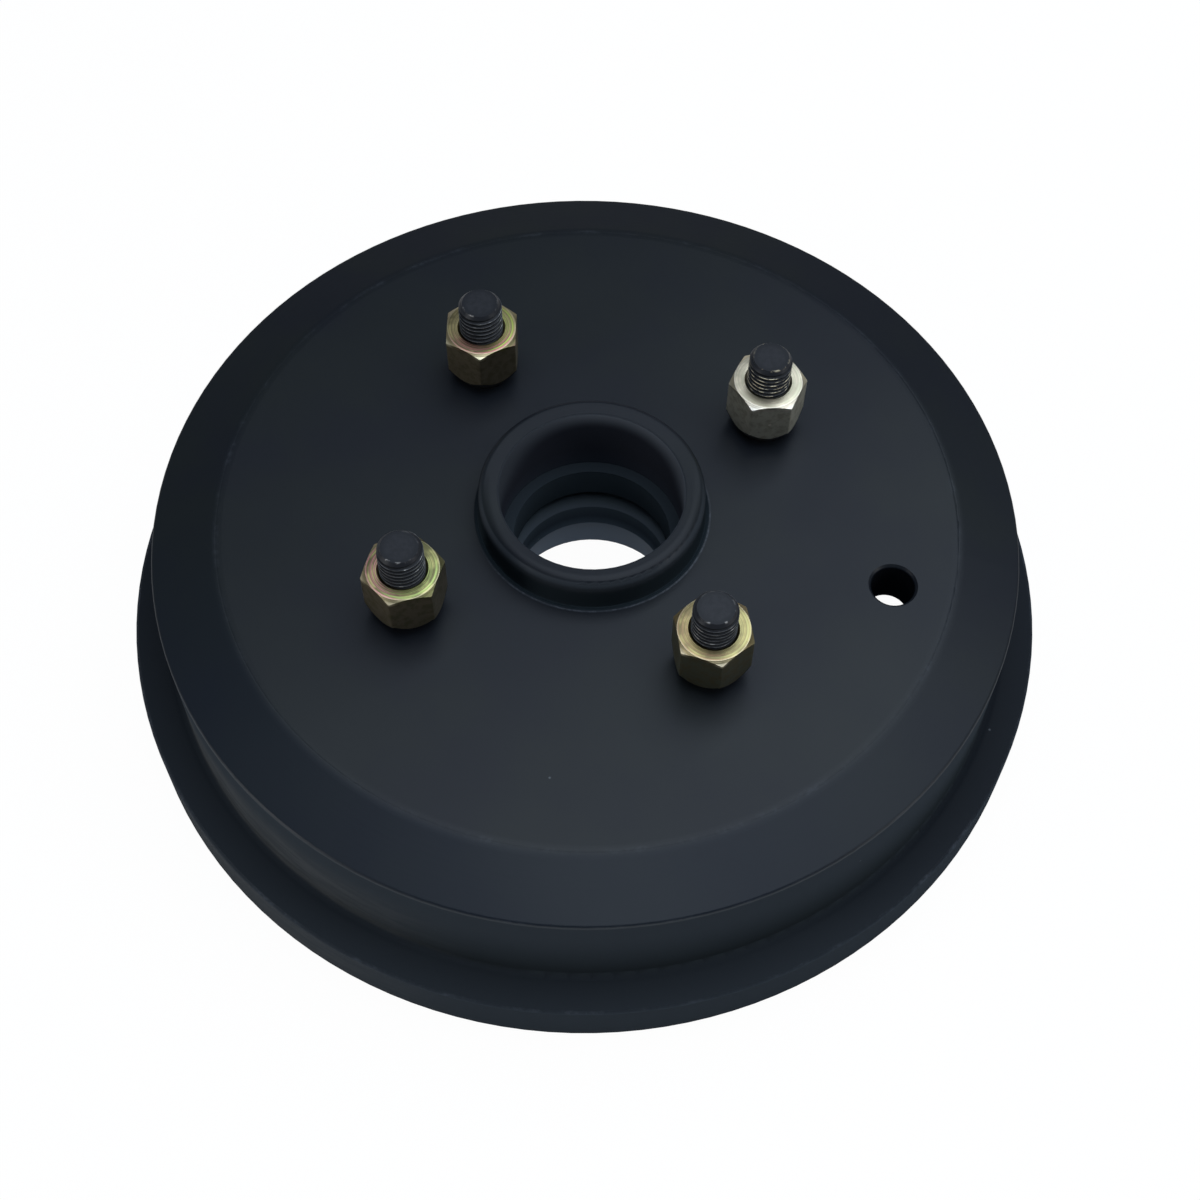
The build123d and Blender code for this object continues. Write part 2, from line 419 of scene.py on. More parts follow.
class CastingSurface(Surface):
    """The casting's surface, with masks of its regions. Offsets are in millimetres."""

    def __init__(self, bench: NodeBench, casting: "DrumCasting") -> None:
        """Measures the surface and keeps the casting's sizes."""
        super().__init__(bench)
        self.sizes = casting

    @cached_property
    def marks(self) -> Wire:
        """The marks of the turning tool."""
        return self.bench.rings(self.radius + self.height, 1.6, 3.0)

    @cached_property
    def blotches(self) -> Wire:
        """Wide clouds in the coat."""
        return self.clouds(0.022, 3.0, 0.55)

    @cached_property
    def cast(self) -> Wire:
        """The surfaces inside the drum that no tool has turned.

        Returns:
            The mask, which is 1 there.
        """
        under_web = self.level(self.sizes.web_underside, 1.2, 0.4)
        above_end = self.level(self.sizes.barrel_end, 1.4, 2.2)
        inside_wall = self.ring(self.sizes.friction_radius, -1.0, -4.0)
        return under_web * above_end * inside_wall * self.ring(self.sizes.seat_radius, 0.6, 2.0)

    @cached_property
    def bore(self) -> Wire:
        """The wall of the bore."""
        return self.ring(self.sizes.seat_radius, 0.35, 0.12)

    @cached_property
    def cone(self) -> Wire:
        """The cone, and all that lies outside it."""
        return self.ring(self.sizes.face_radius, -0.6, 1.4)

    @cached_property
    def adjuster_hole(self) -> Wire:
        """The wall of the adjuster hole, below its chamfer.

        Returns:
            The mask, which is 1 there.
        """
        radius = self.sizes.adjuster_hole_radius
        distance = self.place.flat().distance((*self.sizes.adjuster_hole_centre, 0.0))
        return distance.fade(radius + 0.3, radius + 0.1) * self.level(self.sizes.face_height, -0.3, -0.7)

    @cached_property
    def boss_front(self) -> Wire:
        """The side of the boss that the camera sees."""
        return self.side(self.sizes.boss_front_azimuth, -0.35, 0.4)

    @cached_property
    def boss_corner(self) -> tuple[Wire, Wire]:
        """How far a point is from the axis of the boss's worn corner, and how far it is above that axis.

        Returns:
            Both distances, in millimetres.
        """
        wear = self.sizes.boss_wear_radius
        outwards = (self.radius - (self.sizes.boss_radius - wear)) | 0.0
        upwards = (self.height - (self.sizes.boss_top - wear)) | 0.0
        return self.bench.joined(outwards, upwards).length(), upwards

    def boss_side(self) -> Wire:
        """The upright side of the boss, where the camera sees it, which the coat gives painted shade."""
        upright = abs(self.radius - self.sizes.boss_radius).fade(1.7, 0.9)
        return upright * self.level(self.sizes.boss_top, 0.0, -0.2) * self.boss_front

    def boss_crown(self) -> Wire:
        """The upper part of the boss."""
        return self.ring(self.sizes.boss_radius, 0.3, 0.0) * self.level(self.sizes.face_height, 6.0, 8.0)

    def mouth(self) -> Wire:
        """The painted light on the bore's upper wall, fading out downwards, and sooner at the back than at the sides.

        Returns:
            The mask, which is 1 there.
        """
        depth = self.sizes.boss_top - self.height
        slanted = self.bench.vector_maths("ADD", self.place, self.bench.joined(0.0, depth * -0.68))
        reach = slanted.flat().length()
        near_edge = reach.fade(self.sizes.seat_radius - 4.4, self.sizes.seat_radius + 0.3)
        return near_edge * depth.fade(18.0, 6.0) * depth.fade(0.15, 0.4)

    def lip_top(self) -> Wire:
        """The upper side of the lip."""
        level = abs(self.height - self.sizes.lip_top).fade(3.0, 1.9)
        return level * self.ring(self.sizes.wall_radius, -0.6, -0.2) * self.ring(self.sizes.lip_radius, -0.1, -0.5)

    def outer_sides(self) -> Wire:
        """The upright outer sides of the wall and the lip.

        Returns:
            The mask, which is 1 there.
        """
        wall = abs(self.radius - self.sizes.wall_radius).fade(1.9, 1.1)
        wall = wall * self.level(self.sizes.lip_top, 0.3, 1.6) * self.level(self.sizes.wall_top, 0.1, -0.7)
        lip = abs(self.radius - self.sizes.lip_radius).fade(0.9, 0.3)
        return wall | lip * self.level(self.sizes.lip_top, -0.2, -0.9)

    def handled(self) -> Wire:
        """The surfaces that look up and have been wiped to a satin sheen, which is faint on the lip.

        Returns:
            The mask, which is 1 there.
        """
        above_wall = self.level(self.sizes.wall_top, -1.4, -0.1) * self.ring(self.sizes.seat_radius, 0.1, 0.5)
        lip = abs(self.height - self.sizes.lip_top).fade(0.3, 0.1, 0.14)
        return above_wall | lip * self.ring(self.sizes.wall_radius, 1.7, 3.0)

    def sheen_round_boss(self) -> Wire:
        """A mask that takes the sheen off the boss's side and root, and off its corner where that turns down.

        Returns:
            The mask, which is 1 where the sheen stays.
        """
        reach, upwards = self.boss_corner
        turned_up = (upwards / (reach + 0.001)).fade(0.42, 0.97)
        root = self.ring(self.sizes.boss_radius, 1.7, 1.2)
        return turned_up | self.ring(self.sizes.boss_radius, -3.0, -3.6) | (1.0 - root)

    def soft_corners(self) -> Wire:
        """How much lower, in millimetres, the worn boss corner and the worn edge of the wheel face lie.

        Returns:
            The height, which is nought or less.
        """
        reach, _ = self.boss_corner
        lost = (reach - self.sizes.boss_wear_radius) | 0.0
        lost = lost * self.boss_front * self.ring(self.sizes.boss_radius, 1.0, 0.4)
        wear_reach = self.sizes.face_wear_reach
        near = (1.0 - abs(self.radius - self.sizes.face_radius) / wear_reach) | 0.0
        crease = near * near * (wear_reach * self.sizes.cone_slope / 4)
        return -(lost + crease * self.bench.maths("GREATER_THAN", self.height, self.sizes.wall_top - 1.0))


@dataclass(frozen=True)
class BlackCoatedIron(Finish):
    """Thin black coat over turned and cast iron, with painted light and shade on the upright sides, the boss's front,
    the bore, the lip's front, the cone's front, the adjuster hole and a line at the boss's root. Sides in degrees of
    azimuth, depths in metres.
    """

    name: str = "black_coated_iron"
    blue_black: Triple = (0.0056, 0.0070, 0.0098)
    green_black: Triple = (0.0061, 0.0080, 0.0090)
    cast_black: Triple = (0.0130, 0.0132, 0.0135)
    # The grey of rubbed edges, also used for the painted highlight line at the boss's root.
    worn_grey_and_painted_highlight: Triple = (0.050, 0.057, 0.068)
    speck_grey: Triple = (0.10, 0.11, 0.12)
    # The upright sides' coat, coloured lighter than the top's as a painted reflection.
    side_black: Triple = (0.0290, 0.0345, 0.0400)
    # Painted shade low on the wall, just above the lip.
    wall_foot_painted_shade: Triple = (0.0190, 0.0235, 0.0268)
    # Painted light, broken into streaks, low on the front-left of the wall.
    wall_painted_light_streaks: Triple = (0.050, 0.053, 0.055)
    # Painted shade on the boss's side towards the camera, turning to painted light at its shoulder.
    boss_side_painted_shade: Triple = (0.0125, 0.0175, 0.0210)
    boss_shoulder_painted_light: Triple = (0.0190, 0.0225, 0.0265)
    # Painted light on the bore's upper wall, weaker on the side that the lamp lights.
    mouth_painted_light: Triple = (0.092, 0.104, 0.122)
    mouth_painted_light_lamp_side: Triple = (0.040, 0.045, 0.053)
    # The lip's top, with painted light on its front.
    lip_black: Triple = (0.0108, 0.0128, 0.0158)
    lip_front_painted_light: Triple = (0.0165, 0.0200, 0.0240)
    # A painted reflection: a bluer tint on the front of the cone.
    cone_front_painted_reflection: Triple = (0.0040, 0.0074, 0.0135)
    # Painted shade on the wall of the adjuster hole.
    hole_painted_shade: Triple = (0.0050, 0.0060, 0.0080)
    roughness: float = 0.42
    cast_roughness: float = 0.62
    bore_roughness: float = 0.75
    satin: float = 0.36
    seat_satin: float = 0.30
    satin_roughness: float = 0.40
    # The side where the painted light in the bore's mouth is weaker.
    mouth_lit_side: float = 218.0
    cone_blue_side: float = -95.0
    lip_front_side: float = -98.0
    # Where the painted light on the wall is centred.
    wall_painted_light_side: float = -143.0
    # Where the painted highlight line at the boss's root is centred.
    root_painted_highlight_side: float = -60.0
    crown_satin_side: float = 130.0
    lump_depth: float = 0.00035
    mark_depth: float = 0.000009
    # Painted light and shade down the bore, by height: light at the foot, a dark painted shadow from 26.6 to 31 mm, lit
    # bands between.
    bore_painted_light_and_shade: tuple[tuple[float, Triple], ...] = (
        (0.4, (0.090, 0.123, 0.166)),
        (14.8, (0.090, 0.123, 0.166)),
        (15.3, (0.058, 0.075, 0.092)),
        (19.0, (0.034, 0.043, 0.053)),
        (23.2, (0.050, 0.063, 0.075)),
        (23.8, (0.056, 0.066, 0.077)),
        (26.2, (0.064, 0.081, 0.091)),
        (26.6, (0.005, 0.007, 0.009)),
        (31.0, (0.005, 0.007, 0.009)),
        (31.4, (0.022, 0.029, 0.034)),
        (41.0, (0.031, 0.041, 0.049)),
        (41.2, (0.0190, 0.0240, 0.0285)),
        (41.6, (0.0190, 0.0240, 0.0285)),
        (41.8, (0.030, 0.035, 0.046)),
        (48.0, (0.021, 0.023, 0.030)),
        (63.8, (0.014, 0.016, 0.022)),
        (64.0, (0.026, 0.029, 0.033)),
    )

    def shader(self, bench: NodeBench, piece: "DrumCasting") -> Wire:
        """The coat, which follows the edges and regions of the casting.

        Args:
            bench: The bench of the material.
            piece: The casting whose edges and regions it follows.

        Returns:
            The shader's wire.
        """
        on = CastingSurface(bench, piece)
        normal = self._normal(on)
        return bench.node(
            "ShaderNodeBsdfPrincipled",
            sockets={
                "Base Color": self._colour(on),
                "Roughness": self._roughness(on),
                "Metallic": 0.0,
                "Specular IOR Level": 0.0,
                "Coat Weight": self._sheen(on),
                "Coat Roughness": self.satin_roughness,
                "Normal": normal,
                "Coat Normal": normal,
            },
        )

    def _colour(self, on: CastingSurface) -> Wire:
        """The coat's colour, region by region, with painted light and shade in several regions, under its wear, a
        painted highlight line and its specks.

        Args:
            on: The measures of the surface.

        Returns:
            The wire of the colour.
        """
        bench = on.bench
        # Painted light on the bore's upper wall, by side.
        mouth = bench.mix(on.side(self.mouth_lit_side, -0.7, 0.9), self.mouth_painted_light, self.mouth_painted_light_lamp_side)
        # Painted light: the lip's top is lighter at the front.
        lip = bench.mix(on.side(self.lip_front_side, 0.2, 0.95), self.lip_black, self.lip_front_painted_light)
        # Painted light and shade on the boss's front side: darker low down, lighter just under its top corner.
        shoulder = on.level(on.sizes.boss_top, -4.8, -1.8)
        return bench.layered(
            self.blue_black,
            (on.blotches.fade(0.38, 0.62), self.green_black),
            (on.cast, self.cast_black),
            (on.bore, self._bore_colour(on)),
            (on.bore * on.mouth(), mouth),
            # Painted reflection: a bluer tint on the cone's front side.
            (on.cone * on.side(self.cone_blue_side, 0.1, 0.95) * 0.5, self.cone_front_painted_reflection),
            (on.lip_top(), lip),
            (on.outer_sides(), self._side_colour(on)),
            (on.boss_side(), bench.mix(shoulder, self.boss_side_painted_shade, self.boss_shoulder_painted_light)),
            # Painted shade inside the adjuster hole.
            (on.adjuster_hole, self.hole_painted_shade),
            (self._wear_and_painted_root_highlight(on), self.worn_grey_and_painted_highlight),
            (bench.specks(on.place, spacing=9.0, size=0.42, share=0.10) * 0.7, self.speck_grey),
        )

    def _bore_colour(self, on: CastingSurface) -> Wire:
        """The colour of the bore's wall, which changes with the height: painted light and shade in bands, with a
        painted shadow under the ledge and painted light at the foot.

        Args:
            on: The measures of the surface.

        Returns:
            The wire of the colour.
        """
        top = on.sizes.boss_top
        stops = [(level / top, shade) for level, shade in self.bore_painted_light_and_shade]
        return on.bench.node("ShaderNodeValToRGB", {"stops": stops}, {"Fac": on.height * (1 / top)})

    def _side_colour(self, on: CastingSurface) -> Wire:
        """The colour of the upright sides: lighter than the top's coat as a painted reflection, darker at the wall's
        foot as painted shade, and with a streaked patch of painted light low on the front-left.

        Args:
            on: The measures of the surface.

        Returns:
            The wire of the colour.
        """
        bench = on.bench
        # Painted shade: darker towards the wall's foot, above the lip.
        foot = on.level(0.0, 42.0, 20.0) * on.ring(on.sizes.lip_radius, -2.0, -4.0)
        streaks = bench.noise(bench.joined(on.azimuth * 7.0, on.height * 0.35), 1.0, 4.0, 0.6)
        # Painted light, not wear: a streaked lighter patch low on the front-left of the wall.
        worn = on.side(self.wall_painted_light_side, 0.66, 0.96) * on.level(0.0, 44.0, 30.0)
        worn = worn * streaks.fade(0.38, 0.62).lifted(0.6)
        return bench.layered(self.side_black, (foot, self.wall_foot_painted_shade), (worn, self.wall_painted_light_streaks))

    def _wear_and_painted_root_highlight(self, on: CastingSurface) -> Wire:
        """A mask of the edges where the coat is rubbed thin, in patches and chips, and of a painted highlight line
        round the boss's root on the side towards the camera.

        Args:
            on: The measures of the surface.

        Returns:
            The mask, which is 1 where the coat is gone and on the painted highlight line.
        """
        casting = on.sizes
        patches = on.clouds(0.11, 4.0, 0.62).fade(0.46, 0.68)
        chips = on.clouds(0.8, 2.0, 0.6).fade(0.40, 0.62)
        edges = reduce(or_, map(on.near, casting.rubbed_edges()))
        # Painted highlight: a thin light line round the boss's root, only on the side towards the camera.
        root = on.near(EdgeWearAndHighlight(casting.boss_radius + 1.6, casting.face_height, width=0.45, strength=0.80))
        root = root * on.side(self.root_painted_highlight_side, -0.1, 0.6) * chips.lifted(0.4)
        return edges * patches.lifted(0.15) * chips.lifted(0.3) | root

    def _roughness(self, on: CastingSurface) -> Wire:
        """The roughness under the sheen: turned, cast, or in the bore.

        Args:
            on: The measures of the surface.

        Returns:
            The wire of the roughness.
        """
        turned = self.roughness - 0.05 + on.marks * 0.05 + on.blotches * 0.05
        rough = turned + on.cast * (self.cast_roughness - self.roughness)
        return rough + on.bore * (self.bore_roughness - self.roughness)

    def _sheen(self, on: CastingSurface) -> Wire:
        """The weight of the satin layer.

        Args:
            on: The measures of the surface.

        Returns:
            The wire of the weight.
        """
        satin = on.handled() * (0.85 + on.blotches * 0.3) * self.satin
        satin = satin * (1.0 - on.cone * 0.12) * (1.0 - on.adjuster_hole) * on.sheen_round_boss()
        satin = satin * (1.0 + on.boss_crown() * (on.side(self.crown_satin_side, -0.8, 0.7) * 0.50 - 0.20))
        return satin | on.bore * on.level(on.sizes.inner_seat_top, 0.0, -0.6, self.seat_satin)

    def _normal(self, on: CastingSurface) -> Wire:
        """The worn corners, with the lumps of the casting and the marks of the tool on them.

        Args:
            on: The measures of the surface.

        Returns:
            The wire of the normal.
        """
        bench = on.bench
        worn = bench.bump(on.soft_corners(), MM)
        lumpy = bench.bump(on.clouds(0.45, 5.0, 0.62) * on.cast, self.lump_depth, worn)
        fine = on.clouds(0.9, 3.0, 0.6)
        return bench.bump(on.marks * (1.0 - on.cast) + fine * 0.35, self.mark_depth, lumpy)


@dataclass(frozen=True)
class BlackPhosphatedSteel(Finish):
    """Matt black thread, rubbed bright here and there along its crests and its end, with painted highlight lines on its
    crests, painted shade in its grooves and painted light in the middle of its end. The depth is in metres.
    """

    bare_steel: Triple
    glint_start: float
    black: Triple = (0.0105, 0.0114, 0.0138)
    # Painted shade in the thread's grooves.
    groove_painted_shade: Triple = (0.0040, 0.0044, 0.0052)
    # Painted highlight lines along the thread's crests.
    crest_painted_highlight: Triple = (0.105, 0.110, 0.115)
    # Painted light: the free end is lighter in its middle, so that it looks dished, and mottled.
    end_painted_dish_light: Triple = (0.0165, 0.0175, 0.0205)
    roughness: float = 0.40
    bare_side: float = -12.0
    grain_depth: float = 0.00003

    def shader(self, bench: NodeBench, piece: "WheelStud") -> Wire:
        """The finish of a stud, which follows its thread and its end.

        Args:
            bench: The bench of the material.
            piece: The stud whose thread and end it follows.

        Returns:
            The shader's wire.
        """
        on = Surface(bench, bench.attribute(OWN_PLACE))
        grain = on.clouds(3.2, 3.0, 0.6)
        across = bench.axes(on.place)[0]
        arcs = bench.noise(bench.joined(on.azimuth * 2.4, on.height * 1.9, across * 0.05), 1.0, 3.0, 0.6)
        crest = on.ring(piece.crest_radius, -0.16, -0.02, 0.75) * on.level(piece.tip_height, -12.0, -9.0)
        bare = self._rubbed_end(on, piece) | crest * arcs.fade(self.glint_start, self.glint_start + 0.10)
        # Painted light in the middle of the end, for a dished look, mottled.
        painted_dish_light = on.ring(piece.tip_radius, -0.5, -1.5) * on.clouds(0.7, 3.0, 0.6).fade(0.36, 0.62).lifted(0.35)
        # Painted shade in the thread's grooves.
        groove = on.ring(piece.crest_radius, -0.25, -0.65) * on.level(piece.chamfer_height, 0.5, -0.2)
        colour = bench.layered(
            self.black,
            (on.level(piece.tip_height, -0.06, -0.02) * painted_dish_light, self.end_painted_dish_light),
            (groove, self.groove_painted_shade),
            # Painted highlight lines on the crests.
            (crest * arcs.fade(0.30, 0.60), self.crest_painted_highlight),
            (bare, self.bare_steel),
        )
        return bench.node(
            "ShaderNodeBsdfPrincipled",
            sockets={
                "Base Color": colour,
                "Roughness": self.roughness - 0.08 + grain * 0.16 - bare * 0.1,
                "Metallic": bare,
                "Specular IOR Level": 0.14,
                "Normal": bench.bump(grain, self.grain_depth),
            },
        )

    def _rubbed_end(self, on: Surface, stud: "WheelStud") -> Wire:
        """A mask of the scuffed edges of the free end, most of them on the side towards the camera.

        Args:
            on: The measures of the surface.
            stud: The sizes of the stud.

        Returns:
            The mask.
        """
        rim = on.near(EdgeWearAndHighlight(stud.tip_radius, stud.tip_height, width=0.45, strength=1.0))
        shoulder = on.near(EdgeWearAndHighlight(stud.crest_radius, stud.chamfer_height, width=0.40, strength=0.9))
        scuffs = on.clouds(0.55, 3.0, 0.6).fade(0.52, 0.66)
        return (rim * 0.5 | shoulder * 0.8) * scuffs * on.side(self.bare_side, 0.35, 0.9).lifted(0.2)


@dataclass(frozen=True)
class YellowZincSteel(Finish):
    """Yellow passivated zinc, with the coloured bloom and turned marks of a wheel nut, painted highlights on its front
    chamfers, front corner tips and top rim, and a painted shadow on its seat.

    Spots are places on the nut in millimetres, sides are in degrees of azimuth, and the depth is in metres.
    """

    gold: Triple
    olive: Triple
    pink: Triple
    green: Triple
    flat: Triple
    # The painted highlight colour of the front corner tips and the top rim, also used for the listed spots.
    edge: Triple
    # Painted highlight on the top chamfer's facets at the front. At the back they take the olive.
    chamfer: Triple
    bloom: float
    # Painted shadow: the dark colour of the cone seat under the nut.
    seat: Triple = (0.03, 0.03, 0.03)
    spots: tuple[Triple, ...] = ()
    roughness: float = 0.36
    pink_side: float = -59.0
    green_side: float = 56.0
    bright_side: float = -30.0
    mark_depth: float = 0.00004

    def shader(self, bench: NodeBench, piece: "WheelNut") -> Wire:
        """The plating of a nut, which follows its top ring and its flats.

        Args:
            bench: The bench of the material.
            piece: The nut whose top ring and flats it follows.

        Returns:
            The shader's wire.
        """
        on = Surface(bench, bench.attribute(OWN_PLACE))
        top = on.level(piece.top_height, -1.5, -0.2)
        marks = bench.rings(on.radius, 2.6, 1.0)
        drawn = on.clouds(0.9, 4.0, 0.62)
        return bench.node(
            "ShaderNodeBsdfPrincipled",
            sockets={
                "Base Color": self._colour(on, piece, top, self._top_colour(on, marks)),
                "Roughness": self.roughness + drawn * 0.12 - top * 0.04,
                "Metallic": 1.0,
                "Normal": bench.bump(drawn * (1.0 - top) * 0.5 + marks * top * 0.7, self.mark_depth),
            },
        )

    def _top_colour(self, on: Surface, marks: Wire) -> Wire:
        """The colour of the turned top: its bloom in rings, and dark grooves where the marks are.

        Args:
            on: The measures of the surface.
            marks: The noise of the turned marks.

        Returns:
            The wire of the colour.
        """
        bench = on.bench
        bands = bench.rings(on.radius + on.clouds(0.12, 1.0) * 0.8, 1.5, 1.0)
        pink = on.side(self.pink_side, 0.0, 0.8) * bands.fade(0.56, 0.44)
        green = on.side(self.green_side, 0.0, 0.8) * bands.fade(0.44, 0.58)
        return bench.layered(
            self.gold,
            (on.clouds(0.16, 3.0).fade(0.4, 0.6), self.olive),
            (pink * self.bloom, self.pink),
            (green * self.bloom, self.green),
            (marks.fade(0.46, 0.58) * 0.75, self.olive),
        )

    def _colour(self, on: Surface, nut: "WheelNut", top: Wire, top_colour: Wire) -> Wire:
        """The colour of the stained flats and the top, with painted highlights on the front chamfers, the front corner
        tips and the top's rim, bright spots at the listed places, and a painted shadow on the seat.

        Args:
            on: The measures of the surface.
            nut: The sizes of the nut.
            top: The mask of its top.
            top_colour: The colour of that.

        Returns:
            The wire of the colour.
        """
        bench = on.bench
        front = on.side(self.bright_side, 0.15, 0.8)
        # Painted highlights on the front corner tips and along the top's rim.
        tip = on.ring(nut.corner_radius, -1.1, -0.3) * front * on.level(nut.top_height, -1.9, -1.2)
        rim = on.near(EdgeWearAndHighlight(nut.top_radius, nut.top_height, width=0.18, strength=0.35))
        return bench.layered(
            self.flat,
            (on.clouds(0.45, 4.0, 0.6).fade(0.42, 0.64, 0.6), self.olive),
            (top, top_colour),
            # Painted highlight on the front chamfer facets, olive at the back.
            (on.ring(nut.top_radius, 0.05, 0.3) * top, bench.mix(front, self.olive, self.chamfer)),
            (tip, self.edge),
            *((on.own.distance(spot).fade(0.62, 0.35), self.edge) for spot in self.spots),
            (rim, self.edge),
            # Painted shadow on the cone seat.
            (self._painted_seat_shadow(on, nut), self.seat),
        )

    @staticmethod
    def _painted_seat_shadow(on: Surface, nut: "WheelNut") -> Wire:
        """A mask of the cone that seats in a wheel, where a painted shadow darkens the nut.

        Args:
            on: The measures of the surface.
            nut: The sizes of the nut.

        Returns:
            The mask, which is 1 there.
        """
        seat_line = (on.height - nut.bottom) * math.tan(math.radians(nut.seat_half_angle)) + nut.nose_radius
        near_seat = (on.radius - seat_line).fade(-0.25, -0.05)
        below = on.height.fade(nut.corner_seat_top, nut.bottom)
        return on.bench.maths("GREATER_THAN", near_seat * below, 0.0)


class ThreadWear(Enum):
    """How far the thread of a stud has been rubbed."""

    SLIGHT = BlackPhosphatedSteel(name="black_phosphated_steel", bare_steel=(0.46, 0.44, 0.41), glint_start=0.59)
    RUBBED = BlackPhosphatedSteel(name="black_phosphated_steel_rubbed", bare_steel=(0.72, 0.63, 0.44), glint_start=0.47)


class ZincTone(Enum):
    """How the plating of a nut has taken its colour."""

    GOLDEN = YellowZincSteel(
        name="yellow_zinc_steel",
        gold=(0.46, 0.42, 0.165),
        olive=(0.14, 0.13, 0.060),
        pink=(0.56, 0.22, 0.23),
        green=(0.33, 0.40, 0.13),
        flat=(0.27, 0.225, 0.15),
        edge=(0.72, 0.62, 0.40),
        chamfer=(0.33, 0.28, 0.16),
        bloom=0.9,
    )
    ROSY = YellowZincSteel(
        name="yellow_zinc_steel_rosy",
        gold=(0.42, 0.34, 0.16),
        olive=(0.15, 0.125, 0.065),
        pink=(0.56, 0.22, 0.20),
        green=(0.36, 0.42, 0.10),
        flat=(0.26, 0.22, 0.145),
        edge=(0.78, 0.70, 0.46),
        chamfer=(0.38, 0.32, 0.18),
        bloom=0.95,
        pink_side=8.0,
        green_side=82.0,
    )
    AMBER = YellowZincSteel(
        name="yellow_zinc_steel_amber",
        gold=(0.39, 0.33, 0.135),
        olive=(0.19, 0.15, 0.075),
        pink=(0.46, 0.25, 0.15),
        green=(0.32, 0.31, 0.13),
        flat=(0.185, 0.185, 0.125),
        edge=(0.80, 0.70, 0.48),
        chamfer=(0.36, 0.30, 0.17),
        bloom=0.45,
    )
    PALE = YellowZincSteel(
        name="yellow_zinc_steel_pale",
        gold=(0.68, 0.59, 0.44),
        olive=(0.42, 0.38, 0.27),
        pink=(0.60, 0.47, 0.37),
        green=(0.54, 0.53, 0.37),
        flat=(0.72, 0.70, 0.57),
        edge=(0.92, 0.86, 0.74),
        chamfer=(0.84, 0.76, 0.62),
        bloom=0.4,
        seat=(0.05, 0.05, 0.05),
        spots=((8.23, -4.75, 65.2),),
    )


def put_in_scene(name: str, data: bpy.types.ID) -> Piece:
    """Makes an object of its data, and puts it in the scene.

    Args:
        name: The object's name.
        data: Its mesh, lamp or camera.

    Returns:
        The new object.
    """
    made = bpy.data.objects.new(name, data)
    bpy.context.scene.collection.objects.link(made)
    return made


class Cut(Enum):
    """What a boolean modifier leaves of two solids."""

    COMMON = "INTERSECT"
    TAKEN_AWAY = "DIFFERENCE"
    JOINED = "UNION"


